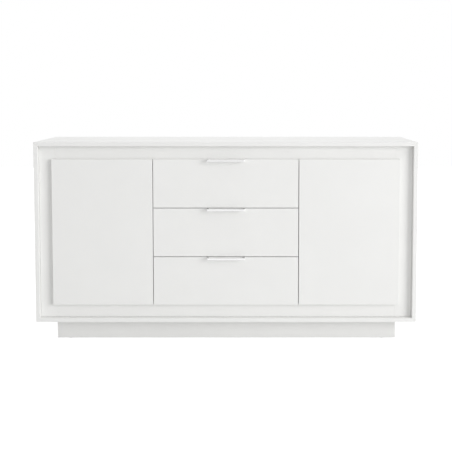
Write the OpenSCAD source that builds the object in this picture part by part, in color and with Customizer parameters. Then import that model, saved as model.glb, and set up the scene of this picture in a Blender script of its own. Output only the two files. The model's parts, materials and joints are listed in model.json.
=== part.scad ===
// Sideboard with two doors and three drawers in a mitred outer shell on a recessed plinth.
// X runs along the width, the front faces -Y, and Z = 0 is the floor.

/* [Overall] */
// Width over the outer shell
overall_w = 1700; // [1400:10:2100]
// Depth of the outer shell
shell_d = 420; // [400:5:520]
// Height from the floor to the top
overall_h = 900; // [760:5:1080]
// Thickness of the shell, surround and carcase boards
board_t = 18; // [15:0.5:22]

/* [Surround and fronts] */
// Visible width of the surround at each side
surround_side_w = 60; // [40:1:80]
// Visible width of the surround above the fronts
surround_top_w = 58; // [40:1:80]
// Visible width of the surround below the fronts
surround_bottom_w = 60; // [40:1:80]
// Depth of the surround behind the front edge of the shell
surround_recess = 24; // [22:0.5:40]
// Shadow gap between the surround and the shell
reveal = 0.5; // [0.3:0.1:3]
// Width that a front overlaps the surround by
overlay = 15; // [12:0.5:16]
// Thickness of the door and drawer fronts
front_t = 18; // [15:0.5:22]
// Space between the back of a front and the surround
front_gap = 2.5; // [2.5:0.1:3]
// Gap between neighbouring fronts
gap = 3; // [2:0.5:4]
// Width of a drawer front
drawer_front_w = 644; // [500:1:800]

/* [Drawer boxes] */
// Thickness of the drawer sides and back
box_t = 12; // [10:0.5:16]
// Space between the bottom of a box and the opening's lower edge
box_clear_bottom = 10; // [8:1:20]
// Space between the top of a box and the opening's upper edge
box_clear_top = 15; // [10:1:80]
// Space between a drawer box and the back panel
box_back_gap = 30; // [10:1:60]
// Thickness of the drawer bottom
box_bottom_t = 6; // [4:0.5:8]
// Height of the drawer bottom above the lower edge of the sides
box_bottom_rise = 10; // [8:1:14]

/* [Drawer slides] */
// Width of a closed slide, partition to drawer side
slide_t = 12.7; // [12.7:0.1:14]
// Height of the outer channel
slide_h = 45; // [40:1:50]
// Sheet thickness of the slide channels
slide_sheet = 1.2; // [1:0.1:1.5]
// Running clearance between slide channels
slide_play = 0.3; // [0.3:0.05:0.6]
// Height of the slide above the lower edge of the drawer side
slide_rise = 32; // [28:1:40]

/* [Handles] */
// Length of a handle
handle_l = 168; // [120:1:240]
// Height of the handle bar
handle_h = 8; // [8:0.5:14]
// Thickness of the handle bar
handle_t = 5; // [4:0.5:8]
// Space between the handle bar and the drawer front
handle_standoff = 24; // [20:0.5:35]
// Width of the end posts
handle_post_w = 8; // [7:0.5:10]

/* [Doors and hinges] */
// Radius of a hinge cup
cup_r = 17.5; // [17.5:0.1:18]
// Depth of a hinge cup
cup_depth = 12; // [12:0.1:12.5]
// Distance of the cup's centre from the outer edge of the door
cup_inset = 22; // [22:0.1:22.5]
// Distance of the hinges from the top and bottom of a door
hinge_inset = 90; // [70:1:120]
// Radius of the push latch's plunger
plunger_r = 4; // [3.5:0.1:5]
// Distance of the push latch from the top of a door
latch_inset = 90; // [60:1:140]

/* [Back, shelves and plinth] */
// Thickness of the back panel
back_t = 8; // [5:0.5:10]
// Depth of the back panel's rebate into the shell boards
rebate = 8; // [5:0.5:9]
// Radius of a shelf pin
pin_r = 2.5; // [2:0.25:3.5]
// Height of the plinth, with its glides
plinth_h = 94; // [60:1:140]
// Setback of the plinth from each side of the shell
plinth_side_setback = 80; // [20:5:200]
// Setback of the plinth behind the front edge of the shell
plinth_front_setback = 70; // [40:1:90]
// Setback of the plinth from the back edge of the shell
plinth_back_setback = 20; // [0:1:60]
// Height of a glide
glide_h = 2; // [1.5:0.5:6]
// Radius of a glide
glide_r = 8; // [6:0.5:8.5]

/* [Hidden] */

$fn = 48;
eps = 1;

lacquer = [0.90, 0.90, 0.90];
inner_lacquer = [0.86, 0.86, 0.85];
steel = [0.72, 0.73, 0.75];

// Depth planes, from the front edge of the shell to its back edge
face_recess = surround_recess - front_gap - front_t;
handle_reach = handle_standoff + handle_t - face_recess;
shell_front = handle_reach / 2 - shell_d / 2;
shell_back = shell_front + shell_d;
face_y = shell_front + face_recess;
front_back_y = face_y + front_t;
surround_y = shell_front + surround_recess;
carcase_y = surround_y + board_t;
back_y = shell_back - back_t;
carcase_d = back_y - carcase_y;

// Heights
shell_z0 = plinth_h;
inner_z0 = shell_z0 + board_t;
inner_z1 = overall_h - board_t;
field_z0 = inner_z0 + surround_bottom_w;
field_z1 = inner_z1 - surround_top_w;
field_h = field_z1 - field_z0;
open_z0 = field_z0 + overlay;
open_z1 = field_z1 - overlay;

// Widths
inner_w = overall_w - 2 * board_t;
field_w = inner_w - 2 * surround_side_w;
open_w = field_w - 2 * overlay;
door_w = (field_w - drawer_front_w) / 2 - gap;
partition_x = (drawer_front_w + gap) / 2;
bay_w = 2 * partition_x - board_t;
side_bay_w = open_w / 2 - partition_x - board_t / 2;
side_bay_x = partition_x + board_t / 2 + side_bay_w / 2;

// Drawers
drawer_count = 3;
drawer_front_h = (field_h - (drawer_count - 1) * gap) / drawer_count;
box_w = bay_w - 2 * slide_t;
box_l = back_y - box_back_gap - front_back_y;
box_rise = overlay + box_clear_bottom;
box_h = drawer_front_h - box_rise - overlay - box_clear_top;
groove_depth = box_t / 2;
groove_play = 0.5;
slide_setback = 2;
slide_end_gap = 6;
slide_y0 = surround_y + slide_setback;
slide_l = front_back_y + box_l - slide_end_gap - slide_y0;
function drawer_z(i) = field_z1 - (i + 1) * drawer_front_h - i * gap;
function slide_z(i) = drawer_z(i) + box_rise + slide_rise;

// Handle screws
screw_r = 2;
screw_play = 0.2;
thread_play = 0.05;
screw_head_r = 4;
screw_head_h = 2.4;
screw_bite = 12;
handle_screw_x = (handle_l - handle_post_w) / 2;

// Concealed hinge, measured inwards and backwards from the door's outer front corner
cup_wall = 0.8;
cup_flange_t = 1;
cup_flange_h = 62;
cup_flange_w = 14;
cup_flange_r = cup_r + 2.5;
hinge_pin = [39, front_t + 5];
hinge_pin_r = 1.5;
hinge_pin_play = 0.05;
link_eye_r = 3;
link_l = 33;
link_t = 2.2;
link_knuckle_r = 1.4;
link_w = 8;
link_angle = 200;
cheek_t = 1.5;
cheek_play = 0.4;
fork_r = link_eye_r + 0.2;
arm_w = 14;
arm_t = 9;
arm_l = 38;
arm_y = surround_recess - face_recess + board_t + 6;
plate_t = 3;
plate_l = 36;
plate_h = 46;
plate_y = arm_y + 6;
hinge_zs = [field_z0 + hinge_inset, field_z1 - hinge_inset];

// Push latch
latch_w = 14;
latch_l = 50;
latch_setback = 3.5;
latch_z = field_z1 - latch_inset;
latch_plate_t = 1;
latch_plate_r = 8;
latch_play = 0.05;
latch_tip_gap = 0.2;
plunger_l = 40;
latch_x = door_w + gap / 2 - board_t / 2 - latch_w / 2;

// Shelves
shelf_play = 1;
shelf_setback = 12;
shelf_z = (open_z0 + open_z1) / 2;
shelf_d = carcase_d - shelf_setback - shelf_play;
pin_out = 7;
pin_depth = 9;
pin_end_play = 1;
pin_pitch = 32;
pin_rows = [-2, -1, 0, 1, 2];
pin_ys = [carcase_y + shelf_setback + 40, back_y - 50];
pin_play = 0.05;

// Battens and plinth
cleat_h = 30;
plinth_w = overall_w - 2 * plinth_side_setback;
plinth_y0 = shell_front + plinth_front_setback;
plinth_y1 = shell_back - plinth_back_setback;
plinth_end_l = plinth_y1 - plinth_y0 - 2 * board_t;

// Back screws
back_screw_l = 30;
back_screw_zs = [open_z0 + 60, shelf_z + 45, open_z1 - 20];
back_screw_xs = [for (s = [-1, 1], x = [partition_x, (open_w + board_t) / 2]) s * x];

// Draws the left-hand piece for side -1, and its mirror image for side 1.
module sided(side) {
    mirror([side > 0 ? 1 : 0, 0, 0]) children();
}

// Moves to the outer front edge of the left door, at floor level.
module at_left_door() {
    translate([-field_w / 2, face_y, 0]) children();
}

// Extrudes an outline drawn in X and Z from depth y0 to y1.
module extrude_y(y0, y1) {
    translate([0, y1, 0]) rotate([90, 0, 0]) linear_extrude(y1 - y0) children();
}

module rod_y(r, l) {
    rotate([-90, 0, 0]) cylinder(r = r, h = l);
}

// ---- Outer shell ----

module back_rebate() {
    translate([-inner_w / 2 - rebate, back_y, inner_z0 - rebate])
        cube([inner_w + 2 * rebate, back_t + eps, inner_z1 - inner_z0 + 2 * rebate]);
}

module top_panel() {
    color(lacquer) difference() {
        extrude_y(shell_front, shell_back)
            polygon([
                [-overall_w / 2, overall_h], [overall_w / 2, overall_h],
                [inner_w / 2, inner_z1], [-inner_w / 2, inner_z1],
            ]);
        back_rebate();
    }
}

module bottom_panel() {
    color(lacquer) difference() {
        extrude_y(shell_front, shell_back)
            polygon([
                [-overall_w / 2, shell_z0], [overall_w / 2, shell_z0],
                [inner_w / 2, inner_z0], [-inner_w / 2, inner_z0],
            ]);
        back_rebate();
    }
}

module shell_side(side) {
    color(lacquer) difference() {
        sided(side) extrude_y(shell_front, shell_back)
            polygon([
                [-overall_w / 2, shell_z0], [-inner_w / 2, inner_z0],
                [-inner_w / 2, inner_z1], [-overall_w / 2, overall_h],
            ]);
        back_rebate();
    }
}

// ---- Flat surround, set back inside the shell ----

module surround_rail(z0, z1) {
    color(lacquer) translate([-open_w / 2, surround_y, z0]) cube([open_w, board_t, z1 - z0]);
}

module surround_stile(side) {
    color(lacquer) sided(side)
        translate([-inner_w / 2 + reveal, surround_y, inner_z0 + reveal])
            cube([(inner_w - open_w) / 2 - reveal, board_t, inner_z1 - inner_z0 - 2 * reveal]);
}

// ---- Carcase inside the shell ----

module shelf_pin_holes(x) {
    for (y = pin_ys, row = pin_rows)
        translate([x, y, shelf_z - pin_r + row * pin_pitch]) rotate([0, 90, 0])
            cylinder(r = pin_r + pin_play, h = 2 * pin_depth, center = true);
}

module back_screw() {
    translate([0, shell_back, 0]) mirror([0, 1, 0]) {
        rotate([-90, 0, 0]) cylinder(r1 = screw_head_r, r2 = screw_r, h = screw_head_h);
        rod_y(screw_r, back_screw_l);
    }
}

module back_screws() {
    color(steel)
        for (x = back_screw_xs, z = back_screw_zs)
            translate([x, 0, z]) back_screw();
}

module inner_side(side) {
    color(inner_lacquer) difference() {
        sided(side) translate([-open_w / 2 - board_t, carcase_y, inner_z0])
            cube([board_t, carcase_d, inner_z1 - inner_z0]);
        shelf_pin_holes(side * open_w / 2);
        back_screws();
    }
}

module partition(side) {
    color(inner_lacquer) difference() {
        translate([side * partition_x - board_t / 2, surround_y, open_z0])
            cube([board_t, back_y - surround_y, inner_z1 - open_z0]);
        translate([side * partition_x - board_t, surround_y - eps, open_z1])
            cube([2 * board_t, board_t + eps, inner_z1 - open_z1 + eps]);
        shelf_pin_holes(side * (partition_x + board_t / 2));
        back_screws();
    }
}

module inner_floor() {
    color(inner_lacquer)
        translate([-open_w / 2, carcase_y, open_z0 - board_t]) cube([open_w, carcase_d, board_t]);
}

module floor_bearers() {
    bearer_h = open_z0 - board_t - inner_z0;
    color(inner_lacquer)
        for (side = [-1, 1], x = [partition_x, (open_w - board_t) / 2])
            translate([side * x - board_t / 2, carcase_y, inner_z0])
                cube([board_t, carcase_d, bearer_h]);
}

module top_cleats() {
    color(inner_lacquer) {
        for (side = [-1, 1])
            translate([side * side_bay_x - side_bay_w / 2, carcase_y, inner_z1 - cleat_h])
                cube([side_bay_w, board_t, cleat_h]);
        translate([-bay_w / 2, carcase_y, inner_z1 - cleat_h]) cube([bay_w, board_t, cleat_h]);
    }
}

module back_panel() {
    back_play = 0.5;
    color(inner_lacquer) difference() {
        translate([-inner_w / 2 - rebate + back_play, back_y, inner_z0 - rebate + back_play])
            cube([
                inner_w + 2 * (rebate - back_play), back_t,
                inner_z1 - inner_z0 + 2 * (rebate - back_play),
            ]);
        back_screws();
    }
}

module shelf(side) {
    color(inner_lacquer)
        translate([
            side * side_bay_x - side_bay_w / 2 + shelf_play, carcase_y + shelf_setback, shelf_z,
        ])
            cube([side_bay_w - 2 * shelf_play, shelf_d, board_t]);
}

module shelf_pins() {
    color(steel)
        for (side = [-1, 1], end = [-1, 1], y = pin_ys)
            translate([side * side_bay_x + end * side_bay_w / 2, y, shelf_z - pin_r])
                rotate([0, end * 90, 0]) translate([0, 0, -pin_out])
                    cylinder(r = pin_r, h = pin_out + pin_depth - pin_end_play);
}

// ---- Plinth ----

module plinth_rail(y) {
    color(lacquer) translate([-plinth_w / 2, y, glide_h]) cube([plinth_w, board_t, plinth_h - glide_h]);
}

module plinth_cross(x) {
    color(lacquer) translate([x - board_t / 2, plinth_y0 + board_t, glide_h])
        cube([board_t, plinth_end_l, plinth_h - glide_h]);
}

module plinth_ends() {
    for (side = [-1, 1]) plinth_cross(side * (plinth_w - board_t) / 2);
}

module glides() {
    glide_inset = 60;
    color([0.25, 0.25, 0.25]) {
        for (side = [-1, 1], y = [plinth_y0 + board_t / 2, plinth_y1 - board_t / 2])
            translate([side * (plinth_w / 2 - glide_inset), y, 0]) cylinder(r = glide_r, h = glide_h);
        cylinder(r = glide_r, h = glide_h);
    }
}

// ---- Doors, each with two concealed hinges and a push latch ----

module door(side) {
    color(lacquer) sided(side) at_left_door() difference() {
        translate([0, 0, field_z0]) cube([door_w, front_t, field_h]);
        for (z = hinge_zs)
            translate([cup_inset, front_t - cup_depth, z]) rod_y(cup_r, cup_depth + eps);
    }
}

module hinge_cup() {
    difference() {
        union() {
            translate([0, front_t - cup_depth, 0]) rod_y(cup_r, cup_depth);
            translate([0, front_t, 0]) rod_y(cup_flange_r, cup_flange_t);
            translate([-cup_flange_w / 2, front_t, -cup_flange_h / 2])
                cube([cup_flange_w, cup_flange_t, cup_flange_h]);
        }
        translate([0, front_t - cup_depth + cup_wall, 0]) rod_y(cup_r - cup_wall, cup_depth + eps);
    }
}

module hinge_cups(side) {
    color(steel) sided(side) at_left_door()
        for (z = hinge_zs) translate([cup_inset, 0, z]) hinge_cup();
}

// Link with an eye on the arm's pin and a rolled end inside the cup.
module hinge_link() {
    strip_x0 = (hinge_pin_r + hinge_pin_play + link_eye_r) / 2;
    translate([hinge_pin.x, hinge_pin.y, -link_w / 2]) rotate([0, 0, link_angle])
        difference() {
            union() {
                cylinder(r = link_eye_r, h = link_w);
                translate([strip_x0, -link_t / 2, 0])
                    cube([link_l - link_knuckle_r - strip_x0, link_t, link_w]);
                translate([link_l - link_knuckle_r, 0, 0]) cylinder(r = link_knuckle_r, h = link_w);
            }
            translate([0, 0, -eps]) cylinder(r = hinge_pin_r + hinge_pin_play, h = link_w + 2 * eps);
        }
}

module hinge_links(side) {
    color(steel) sided(side) at_left_door() for (z = hinge_zs) translate([0, 0, z]) hinge_link();
}

// Arm with a fork at its front end, and the pin that carries the link.
module hinge_arm() {
    arm_x = overlay + plate_t;
    pin_half = link_w / 2 + cheek_play + cheek_t;
    for (end = [-1, 1])
        translate([0, 0, end * (link_w / 2 + cheek_play + cheek_t / 2) - cheek_t / 2])
            linear_extrude(cheek_t)
                polygon([
                    [arm_x, arm_y], [arm_x, arm_y + arm_t], [arm_x + arm_t, arm_y + arm_t],
                    [hinge_pin.x + fork_r, hinge_pin.y + fork_r], [hinge_pin.x + fork_r, hinge_pin.y - fork_r],
                    [hinge_pin.x - fork_r, hinge_pin.y - fork_r],
                ]);
    translate([hinge_pin.x, hinge_pin.y, -pin_half]) cylinder(r = hinge_pin_r, h = 2 * pin_half);
    translate([arm_x, arm_y + arm_t / 2, -arm_w / 2]) cube([arm_t, arm_l, arm_w]);
}

module hinge_arms() {
    color(steel)
        for (side = [-1, 1]) sided(side) at_left_door()
            for (z = hinge_zs) translate([0, 0, z]) hinge_arm();
}

module hinge_plates() {
    color(steel)
        for (side = [-1, 1]) sided(side) at_left_door()
            for (z = hinge_zs)
                translate([overlay, plate_y, z - plate_h / 2]) cube([plate_t, plate_l, plate_h]);
}

module latch_housings() {
    latch_y = front_t + front_gap + latch_setback;
    color([0.80, 0.80, 0.80])
        for (side = [-1, 1]) sided(side) at_left_door() translate([latch_x, latch_y, latch_z])
            difference() {
                translate([-latch_w / 2, 0, -latch_w / 2]) cube([latch_w, latch_l, latch_w]);
                translate([0, -eps, 0]) rod_y(plunger_r + latch_play, latch_l - 4);
            }
}

module latch_plunger(side) {
    color([0.80, 0.80, 0.80]) sided(side) at_left_door()
        translate([latch_x, front_t + latch_plate_t + latch_tip_gap, latch_z]) rod_y(plunger_r, plunger_l);
}

module latch_plate(side) {
    color(steel) sided(side) at_left_door()
        translate([latch_x, front_t, latch_z]) rod_y(latch_plate_r, latch_plate_t);
}

// ---- Drawers, numbered from the top ----

// Shanks of the two handle screws, widened all round by play.
module handle_screw_shanks(i, play) {
    for (end = [-1, 1])
        translate([
            end * handle_screw_x, face_y - screw_bite - play,
            drawer_z(i) + drawer_front_h - handle_h / 2,
        ])
            rod_y(screw_r + play, screw_bite + front_t + play);
}

module handle_screws(i) {
    handle_screw_shanks(i, 0);
    for (end = [-1, 1])
        translate([
            end * handle_screw_x, front_back_y, drawer_z(i) + drawer_front_h - handle_h / 2,
        ])
            rod_y(screw_head_r, screw_head_h);
}

// The drawer bottom, widened by the play of its groove when play is positive.
module drawer_bottom_board(i, play) {
    bottom_w = box_w - 2 * box_t + 2 * (groove_depth - groove_play);
    translate([
        -bottom_w / 2 - play, front_back_y - groove_depth + groove_play - play,
        drawer_z(i) + box_rise + box_bottom_rise,
    ])
        cube([bottom_w + 2 * play, box_l + groove_depth - groove_play + play, box_bottom_t]);
}

module drawer_front(i) {
    color(lacquer) difference() {
        translate([-drawer_front_w / 2, face_y, drawer_z(i)])
            cube([drawer_front_w, front_t, drawer_front_h]);
        drawer_bottom_board(i, groove_play);
        handle_screw_shanks(i, screw_play);
    }
}

module drawer_sides(i) {
    color(inner_lacquer) difference() {
        for (side = [-1, 1])
            translate([side * (box_w - box_t) / 2 - box_t / 2, front_back_y, drawer_z(i) + box_rise])
                cube([box_t, box_l, box_h]);
        drawer_bottom_board(i, groove_play);
    }
}

module drawer_back(i) {
    back_z = drawer_z(i) + box_rise + box_bottom_rise + box_bottom_t;
    color(inner_lacquer)
        translate([-box_w / 2 + box_t, front_back_y + box_l - box_t, back_z])
            cube([box_w - 2 * box_t, box_t, box_h - box_bottom_rise - box_bottom_t]);
}

module drawer_bottom(i) {
    color(inner_lacquer) drawer_bottom_board(i, 0);
}

module handle(i) {
    bend_r = 4;
    reach = handle_standoff + handle_t;
    color(steel) {
        difference() {
            translate([0, face_y, drawer_z(i) + drawer_front_h - handle_h]) linear_extrude(handle_h)
                difference() {
                    union() {
                        translate([-handle_l / 2, -reach + bend_r]) square([handle_l, reach - bend_r]);
                        translate([-handle_l / 2 + bend_r, -reach])
                            square([handle_l - 2 * bend_r, reach]);
                        for (end = [-1, 1])
                            translate([end * (handle_l / 2 - bend_r), -reach + bend_r]) circle(r = bend_r);
                    }
                    translate([-handle_l / 2 + handle_post_w, -handle_standoff])
                        square([handle_l - 2 * handle_post_w, handle_standoff + eps]);
                }
            handle_screw_shanks(i, thread_play);
        }
        handle_screws(i);
    }
}

// A channel with its web in the plane across X, open towards +X when dir is 1.
module slide_channel(i, web_x, dir, depth, half_h) {
    translate([web_x, slide_y0, slide_z(i)])
        mirror([dir < 0 ? 1 : 0, 0, 0]) difference() {
            translate([0, 0, -half_h]) cube([depth, slide_l, 2 * half_h]);
            translate([slide_sheet, -eps, -half_h + slide_sheet])
                cube([depth, slide_l + 2 * eps, 2 * (half_h - slide_sheet)]);
        }
}

middle_half_h = slide_h / 2 - slide_sheet - slide_play;
runner_half_h = middle_half_h - slide_sheet - slide_play;
middle_x = slide_sheet + slide_play;
runner_depth = slide_t - middle_x - slide_sheet - slide_play;

module slide_channels() {
    color(steel)
        for (i = [0 : drawer_count - 1], side = [-1, 1]) sided(side)
            slide_channel(i, -bay_w / 2, 1, slide_t - 3, slide_h / 2);
}

module slide_middles(i) {
    color(steel)
        for (side = [-1, 1]) sided(side)
            slide_channel(i, -bay_w / 2 + middle_x, 1, slide_t - middle_x - 2, middle_half_h);
}

module drawer_runners(i) {
    color(steel)
        for (side = [-1, 1]) sided(side)
            slide_channel(i, -box_w / 2, -1, runner_depth, runner_half_h);
}

top_panel();
bottom_panel();
shell_side(-1);  // left_side
shell_side(1);  // right_side
surround_rail(open_z1, inner_z1 - reveal);  // surround_top
surround_rail(inner_z0 + reveal, open_z0);  // surround_bottom
surround_stile(-1);  // surround_left
surround_stile(1);  // surround_right
inner_side(-1);  // inner_side_left
inner_side(1);  // inner_side_right
partition(-1);  // partition_left
partition(1);  // partition_right
inner_floor();
floor_bearers();
top_cleats();
back_panel();
back_screws();
shelf(-1);  // shelf_left
shelf(1);  // shelf_right
shelf_pins();
plinth_rail(plinth_y0);  // plinth_front
plinth_rail(plinth_y1 - board_t);  // plinth_back
plinth_ends();
plinth_cross(0);  // plinth_brace
glides();
hinge_arms();
hinge_plates();
slide_channels();
latch_housings();
door(-1);  // door_left
hinge_cups(-1);  // hinge_cups_left
latch_plate(-1);  // latch_plate_left
hinge_links(-1);  // hinge_links_left
latch_plunger(-1);  // latch_plunger_left
door(1);  // door_right
hinge_cups(1);  // hinge_cups_right
latch_plate(1);  // latch_plate_right
hinge_links(1);  // hinge_links_right
latch_plunger(1);  // latch_plunger_right
drawer_front(0);  // drawer_front_top
drawer_sides(0);  // drawer_sides_top
drawer_back(0);  // drawer_back_top
drawer_bottom(0);  // drawer_bottom_top
handle(0);  // handle_top
drawer_runners(0);  // drawer_runners_top
slide_middles(0);  // slide_middles_top
drawer_front(1);  // drawer_front_middle
drawer_sides(1);  // drawer_sides_middle
drawer_back(1);  // drawer_back_middle
drawer_bottom(1);  // drawer_bottom_middle
handle(1);  // handle_middle
drawer_runners(1);  // drawer_runners_middle
slide_middles(1);  // slide_middles_middle
drawer_front(2);  // drawer_front_bottom
drawer_sides(2);  // drawer_sides_bottom
drawer_back(2);  // drawer_back_bottom
drawer_bottom(2);  // drawer_bottom_bottom
handle(2);  // handle_bottom
drawer_runners(2);  // drawer_runners_bottom
slide_middles(2);  // slide_middles_bottom
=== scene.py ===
"""White lacquered sideboard: finished surfaces, a pale floor, soft studio light and the camera."""

import json
import math

import bmesh
import bpy
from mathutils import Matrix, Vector


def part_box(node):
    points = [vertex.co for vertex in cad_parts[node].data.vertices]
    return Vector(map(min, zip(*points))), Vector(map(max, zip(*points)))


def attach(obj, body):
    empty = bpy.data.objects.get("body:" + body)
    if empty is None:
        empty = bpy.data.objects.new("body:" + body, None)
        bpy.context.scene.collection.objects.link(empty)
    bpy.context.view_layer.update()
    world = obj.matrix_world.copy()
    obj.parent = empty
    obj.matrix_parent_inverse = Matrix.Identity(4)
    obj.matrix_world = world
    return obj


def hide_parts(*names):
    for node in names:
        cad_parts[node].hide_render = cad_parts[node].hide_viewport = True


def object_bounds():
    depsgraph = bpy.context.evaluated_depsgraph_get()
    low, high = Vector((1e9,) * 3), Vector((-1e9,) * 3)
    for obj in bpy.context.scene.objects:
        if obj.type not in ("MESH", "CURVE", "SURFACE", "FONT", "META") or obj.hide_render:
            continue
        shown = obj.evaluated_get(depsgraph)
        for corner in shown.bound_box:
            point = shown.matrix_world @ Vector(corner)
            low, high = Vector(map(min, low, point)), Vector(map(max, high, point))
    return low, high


MM = 0.001

# Noise mostly lies between these two values, so they count as its range.
NOISE_LOW = 0.3
NOISE_HIGH = 0.7

# Lacquer: long waves and fine orange peel, heights in metres
WAVE_SCALE = 90.0
WAVE_HEIGHT = 0.08 * MM
PEEL_SCALE = 620.0
PEEL_HEIGHT = 0.04 * MM
LACQUER_WARMTH = 0.013

# Melamine, metal and plastic: fine relief, heights in metres
PORE_SCALE = 1100.0
PORE_HEIGHT = 0.06 * MM
LINE_SCALE = 900.0
LINE_HEIGHT = 0.02 * MM
SPARK_SCALE = 2200.0
SPARK_HEIGHT = 0.03 * MM

# Width of the rounded edges of each slot's pieces
EDGE_WIDTH = {
    "lacquer_shell": 0.8 * MM,
    "lacquer_front": 1.0 * MM,
    "lacquer_plinth": 0.8 * MM,
    "inner_board": 0.5 * MM,
    "back_board": 0.4 * MM,
    "drawer_board": 0.6 * MM,
    "handle_metal": 0.7 * MM,
    "zinc_steel": 0.2 * MM,
    "latch_plastic": 0.5 * MM,
    "glide_plastic": 0.6 * MM,
}
EDGE_SEGMENTS = 3
EDGE_ANGLE = math.radians(40)
SAME_POINT = 0.005 * MM
SAME_PLANE = math.radians(0.5)
FACE_WEIGHT = 80

# Strength of the surroundings and the floor, seen and as light
SEEN_WHITE = 1.0
FILL = 0.56
FLOOR_SEEN = 0.8
FLOOR_SIZE = 16.0
FLOOR_DROP = 0.5 * MM

# Lights: place and size in metres, power in watts
KEY_PLACE = (9.0, -7.0, 3.0)
KEY_SIZE = 6.0
KEY_POWER = 720.0
BEHIND_PLACE = (0.0, 1.9, 3.0)
BEHIND_SIZE = 2.5
BEHIND_POWER = 12.0
TOP_PLACE = (0.0, -0.3, 3.6)
TOP_SIZE = 4.5
TOP_POWER = 22.0

# Camera: its place beside the middle, in front of the shell and above the top, in metres
EYE_RIGHT = 0.0854
EYE_FRONT = 3.5389
EYE_ABOVE = 0.2268
LOOKS_DOWN = math.radians(3.5)
LENS_MM = 64.03
SENSOR_MM = 36.0
SHIFT_X = -0.0422
SHIFT_Y = -0.1904
FAR_CLIP = 60.0


# ---- Materials ----

def new_material(name):
    """An empty node material, its node tree and its Principled shader."""
    material = bpy.data.materials.new(name)
    material.use_nodes = True
    tree = material.node_tree
    tree.nodes.clear()
    shader = tree.nodes.new("ShaderNodeBsdfPrincipled")
    output = tree.nodes.new("ShaderNodeOutputMaterial")
    tree.links.new(shader.outputs["BSDF"], output.inputs["Surface"])
    return material, tree, shader


def object_position(tree, stretch=(1.0, 1.0, 1.0)):
    """Object coordinates in metres, scaled along each axis."""
    coordinates = tree.nodes.new("ShaderNodeTexCoord")
    mapping = tree.nodes.new("ShaderNodeMapping")
    mapping.inputs["Scale"].default_value = stretch
    tree.links.new(coordinates.outputs["Object"], mapping.inputs["Vector"])
    return mapping.outputs["Vector"]


def noise(tree, position, scale, detail, roughness=0.5):
    """A noise texture's value, from 0 to 1."""
    texture = tree.nodes.new("ShaderNodeTexNoise")
    texture.inputs["Scale"].default_value = scale
    texture.inputs["Detail"].default_value = detail
    texture.inputs["Roughness"].default_value = roughness
    tree.links.new(position, texture.inputs["Vector"])
    return texture.outputs["Fac"]


def remap(tree, value, low, high):
    """A noise value, spread from low to high."""
    node = tree.nodes.new("ShaderNodeMapRange")
    node.inputs["From Min"].default_value = NOISE_LOW
    node.inputs["From Max"].default_value = NOISE_HIGH
    node.inputs["To Min"].default_value = low
    node.inputs["To Max"].default_value = high
    tree.links.new(value, node.inputs["Value"])
    return node.outputs["Result"]


def mix_colours(tree, factor, first, second):
    """Blend of two plain colours by a varying factor."""
    node = tree.nodes.new("ShaderNodeMix")
    node.data_type = "RGBA"
    node.inputs["A"].default_value = (*first, 1.0)
    node.inputs["B"].default_value = (*second, 1.0)
    tree.links.new(factor, node.inputs["Factor"])
    return node.outputs["Result"]


def bump(tree, height, distance, strength, below=None):
    """A normal bent by a height value, which spans distance in metres."""
    node = tree.nodes.new("ShaderNodeBump")
    node.inputs["Distance"].default_value = distance
    node.inputs["Strength"].default_value = strength
    tree.links.new(height, node.inputs["Height"])
    if below is not None:
        tree.links.new(below, node.inputs["Normal"])
    return node.outputs["Normal"]


def lacquer(name, light, dark, roughness):
    """Sprayed silk-matt lacquer: faint clouding, uneven sheen and fine orange peel."""
    material, tree, shader = new_material(name)
    position = object_position(tree)
    cloud = remap(tree, noise(tree, position, 5.0, 3.0), 0.0, 1.0)
    tree.links.new(mix_colours(tree, cloud, dark, light), shader.inputs["Base Color"])
    sheen = remap(tree, noise(tree, position, 14.0, 4.0), roughness - 0.03, roughness + 0.04)
    tree.links.new(sheen, shader.inputs["Roughness"])
    waves = bump(tree, noise(tree, position, WAVE_SCALE, 2.0), WAVE_HEIGHT, 0.5)
    grain = bump(tree, noise(tree, position, PEEL_SCALE, 3.0), PEEL_HEIGHT, 0.6, waves)
    tree.links.new(grain, shader.inputs["Normal"])
    shader.inputs["Specular IOR Level"].default_value = 0.4
    return material


def melamine(name, light, dark, roughness):
    """Melamine-faced board: a pressed pore texture under an even matt surface."""
    material, tree, shader = new_material(name)
    position = object_position(tree)
    cloud = remap(tree, noise(tree, position, 9.0, 4.0), 0.0, 1.0)
    tree.links.new(mix_colours(tree, cloud, dark, light), shader.inputs["Base Color"])
    sheen = remap(tree, noise(tree, position, 40.0, 3.0), roughness - 0.04, roughness + 0.04)
    tree.links.new(sheen, shader.inputs["Roughness"])
    pores = noise(tree, position, PORE_SCALE, 4.0, 0.6)
    tree.links.new(bump(tree, pores, PORE_HEIGHT, 0.7), shader.inputs["Normal"])
    shader.inputs["Specular IOR Level"].default_value = 0.35
    return material


def brushed_metal(name, light, dark, roughness, stretch):
    """Metal with fine lines along one axis and slight smudging."""
    material, tree, shader = new_material(name)
    lines = noise(tree, object_position(tree, stretch), LINE_SCALE, 3.0, 0.6)
    smudge = noise(tree, object_position(tree), 35.0, 3.0)
    tint = mix_colours(tree, remap(tree, lines, 0.0, 1.0), dark, light)
    tree.links.new(tint, shader.inputs["Base Color"])
    shader.inputs["Metallic"].default_value = 1.0
    sheen = remap(tree, smudge, roughness - 0.05, roughness + 0.07)
    tree.links.new(sheen, shader.inputs["Roughness"])
    tree.links.new(bump(tree, lines, LINE_HEIGHT, 0.6), shader.inputs["Normal"])
    return material


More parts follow.
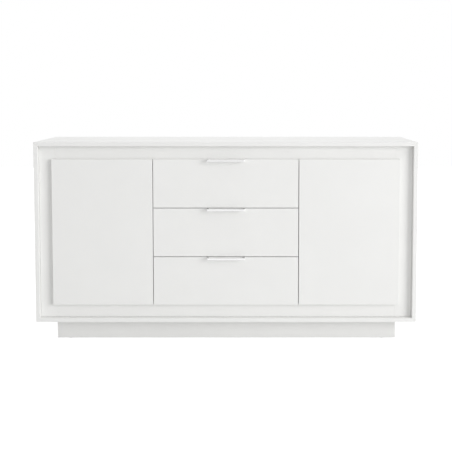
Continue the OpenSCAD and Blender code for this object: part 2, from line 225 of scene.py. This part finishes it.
def moulded_plastic(name, light, dark, roughness):
    """Moulded plastic with a fine spark-eroded texture."""
    material, tree, shader = new_material(name)
    position = object_position(tree)
    cloud = remap(tree, noise(tree, position, 60.0, 3.0), 0.0, 1.0)
    tree.links.new(mix_colours(tree, cloud, dark, light), shader.inputs["Base Color"])
    sheen = remap(tree, noise(tree, position, 150.0, 3.0), roughness - 0.05, roughness + 0.05)
    tree.links.new(sheen, shader.inputs["Roughness"])
    sparks = noise(tree, position, SPARK_SCALE, 2.0)
    tree.links.new(bump(tree, sparks, SPARK_HEIGHT, 0.6), shader.inputs["Normal"])
    return material


def grey(value, warm=0.0):
    """A near-neutral colour, with a little less blue where warm is positive."""
    return (value, value, value - warm)


def lacquered(name, value, roughness):
    """White lacquer of one lightness, with its clouding a little darker."""
    light = grey(value, LACQUER_WARMTH)
    dark = grey(value - 0.015, LACQUER_WARMTH)
    return lacquer(name, light, dark, roughness)


def make_materials():
    """One finished material for each of the record's slots."""
    along_x = (0.03, 1.0, 1.0)
    along_y = (1.0, 0.05, 1.0)
    return {
        "lacquer_shell": lacquered("lacquer_shell", 0.86, 0.42),
        "lacquer_front": lacquered("lacquer_front", 0.86, 0.40),
        "lacquer_plinth": lacquered("lacquer_plinth", 0.84, 0.46),
        "inner_board": melamine("inner_board", grey(0.82, 0.004), grey(0.80, 0.004), 0.48),
        "back_board": melamine("back_board", grey(0.80, 0.004), grey(0.775, 0.004), 0.55),
        "drawer_board": melamine("drawer_board", grey(0.82, 0.005), grey(0.80, 0.005), 0.45),
        "handle_metal": brushed_metal("handle_metal", grey(0.70), grey(0.65), 0.38, along_x),
        "zinc_steel": brushed_metal("zinc_steel", grey(0.66, -0.008), grey(0.56, -0.008), 0.36, along_y),
        "latch_plastic": moulded_plastic("latch_plastic", grey(0.76), grey(0.73), 0.5),
        "glide_plastic": moulded_plastic("glide_plastic", grey(0.72), grey(0.68), 0.5),
    }


# ---- Pieces with softened edges ----

def softened(node, material, width):
    """A copy of a CAD node with its hard edges rounded, which stands for the node."""
    source = frame["nodes"][node]
    mesh = source.data.copy()
    piece = bpy.data.objects.new(node + "_finished", mesh)
    bpy.context.scene.collection.objects.link(piece)
    mesh.materials.clear()
    mesh.materials.append(material)
    work = bmesh.new()
    work.from_mesh(mesh)
    bmesh.ops.remove_doubles(work, verts=work.verts, dist=SAME_POINT)
    bmesh.ops.dissolve_limit(
        work,
        angle_limit=SAME_PLANE,
        verts=work.verts,
        edges=work.edges,
        use_dissolve_boundaries=False,
    )
    work.to_mesh(mesh)
    work.free()
    rounding = piece.modifiers.new("rounding", "BEVEL")
    rounding.width = width
    rounding.segments = EDGE_SEGMENTS
    rounding.limit_method = "ANGLE"
    rounding.angle_limit = EDGE_ANGLE
    rounding.use_clamp_overlap = True
    mesh.polygons.foreach_set("use_smooth", [True] * len(mesh.polygons))
    if "custom_normal" in mesh.attributes:
        mesh.attributes.remove(mesh.attributes["custom_normal"])
    flatness = piece.modifiers.new("flatness", "WEIGHTED_NORMAL")
    flatness.weight = FACE_WEIGHT
    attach(piece, body_of_node(node))
    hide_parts(node)


def body_of_node(node):
    """Name of the body that holds a node."""
    bodies = frame["record"]["behaviour"]["bodies"]
    return next(name for name, nodes in bodies.items() if node in nodes)


# ---- Studio ----

def plain_background(tree, strength):
    """A white background shader of one strength."""
    background = tree.nodes.new("ShaderNodeBackground")
    background.inputs["Color"].default_value = (1.0, 1.0, 1.0, 1.0)
    background.inputs["Strength"].default_value = strength
    return background.outputs["Background"]


def seen_or_lighting(tree, seen, lighting, output):
    """Shows one shader to the eye and in reflections, while the other one lights the object."""
    path = tree.nodes.new("ShaderNodeLightPath")
    either = tree.nodes.new("ShaderNodeMath")
    either.operation = "MAXIMUM"
    tree.links.new(path.outputs["Is Camera Ray"], either.inputs[0])
    tree.links.new(path.outputs["Is Glossy Ray"], either.inputs[1])
    mix = tree.nodes.new("ShaderNodeMixShader")
    tree.links.new(either.outputs["Value"], mix.inputs["Fac"])
    tree.links.new(lighting, mix.inputs[1])
    tree.links.new(seen, mix.inputs[2])
    tree.links.new(mix.outputs["Shader"], output)


def floor_shader(tree, glow=0.0):
    """Pale matt paint, which can also glow as a brightly lit floor does."""
    shader = tree.nodes.new("ShaderNodeBsdfPrincipled")
    cloud = remap(tree, noise(tree, object_position(tree), 0.8, 3.0), 0.0, 1.0)
    tree.links.new(mix_colours(tree, cloud, grey(0.80), grey(0.82)), shader.inputs["Base Color"])
    shader.inputs["Roughness"].default_value = 0.8
    shader.inputs["Emission Color"].default_value = (1.0, 1.0, 1.0, 1.0)
    shader.inputs["Emission Strength"].default_value = glow
    return shader.outputs["BSDF"]


def make_floor():
    """A pale floor, white to the eye and softer as a light."""
    bpy.ops.mesh.primitive_plane_add(size=FLOOR_SIZE, location=(0.0, 0.0, -FLOOR_DROP))
    floor = bpy.context.active_object
    floor.name = "floor"
    material = bpy.data.materials.new("floor")
    material.use_nodes = True
    tree = material.node_tree
    tree.nodes.clear()
    output = tree.nodes.new("ShaderNodeOutputMaterial")
    bright = floor_shader(tree, FLOOR_SEEN)
    seen_or_lighting(tree, bright, floor_shader(tree), output.inputs["Surface"])
    floor.data.materials.append(material)


def make_world():
    """Even white surroundings, dimmer as a light than they look."""
    world = bpy.data.worlds.new("studio")
    world.use_nodes = True
    bpy.context.scene.world = world
    tree = world.node_tree
    tree.nodes.clear()
    output = tree.nodes.new("ShaderNodeOutputWorld")
    white = plain_background(tree, SEEN_WHITE)
    seen_or_lighting(tree, white, plain_background(tree, FILL), output.inputs["Surface"])


def area_light(name, place, target, size, power):
    """A square soft light that points at target."""
    data = bpy.data.lights.new(name, "AREA")
    data.shape = "SQUARE"
    data.size = size
    data.energy = power
    light = bpy.data.objects.new(name, data)
    light.location = place
    direction = Vector(target) - Vector(place)
    light.rotation_euler = direction.to_track_quat("-Z", "Y").to_euler()
    bpy.context.scene.collection.objects.link(light)


def make_camera(top_z):
    """A camera a little right of centre and above the top, which looks slightly down."""
    front_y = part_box("top_panel")[0][1]
    data = bpy.data.cameras.new("camera")
    data.sensor_width = SENSOR_MM
    data.lens = LENS_MM
    data.shift_x = SHIFT_X
    data.shift_y = SHIFT_Y
    data.clip_end = FAR_CLIP
    camera = bpy.data.objects.new("camera", data)
    camera.location = (EYE_RIGHT, front_y - EYE_FRONT, top_z + EYE_ABOVE)
    camera.rotation_euler = (math.radians(90) - LOOKS_DOWN, 0.0, 0.0)
    bpy.context.scene.collection.objects.link(camera)
    bpy.context.scene.camera = camera


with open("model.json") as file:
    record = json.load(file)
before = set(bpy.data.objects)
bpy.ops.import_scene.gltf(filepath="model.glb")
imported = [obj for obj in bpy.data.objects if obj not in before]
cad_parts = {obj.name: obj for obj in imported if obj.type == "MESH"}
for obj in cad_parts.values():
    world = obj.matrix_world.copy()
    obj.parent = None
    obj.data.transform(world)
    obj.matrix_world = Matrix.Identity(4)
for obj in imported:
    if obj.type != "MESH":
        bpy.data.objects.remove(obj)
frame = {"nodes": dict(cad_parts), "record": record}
cad_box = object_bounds()
top_z = cad_box[1][2]
slots = {part["node"]: part["material_slot"] for part in frame["record"]["subparts"]}
materials = make_materials()

for node in frame["nodes"]:
    softened(node, materials[slots[node]], EDGE_WIDTH[slots[node]])

make_floor()
make_world()
make_camera(top_z)
middle = (0.0, 0.0, top_z / 2)
above = (0.0, 0.0, top_z)
area_light("key", KEY_PLACE, middle, KEY_SIZE, KEY_POWER)
area_light("behind", BEHIND_PLACE, above, BEHIND_SIZE, BEHIND_POWER)
area_light("overhead", TOP_PLACE, above, TOP_SIZE, TOP_POWER)

bpy.context.scene.view_settings.view_transform = "Standard"
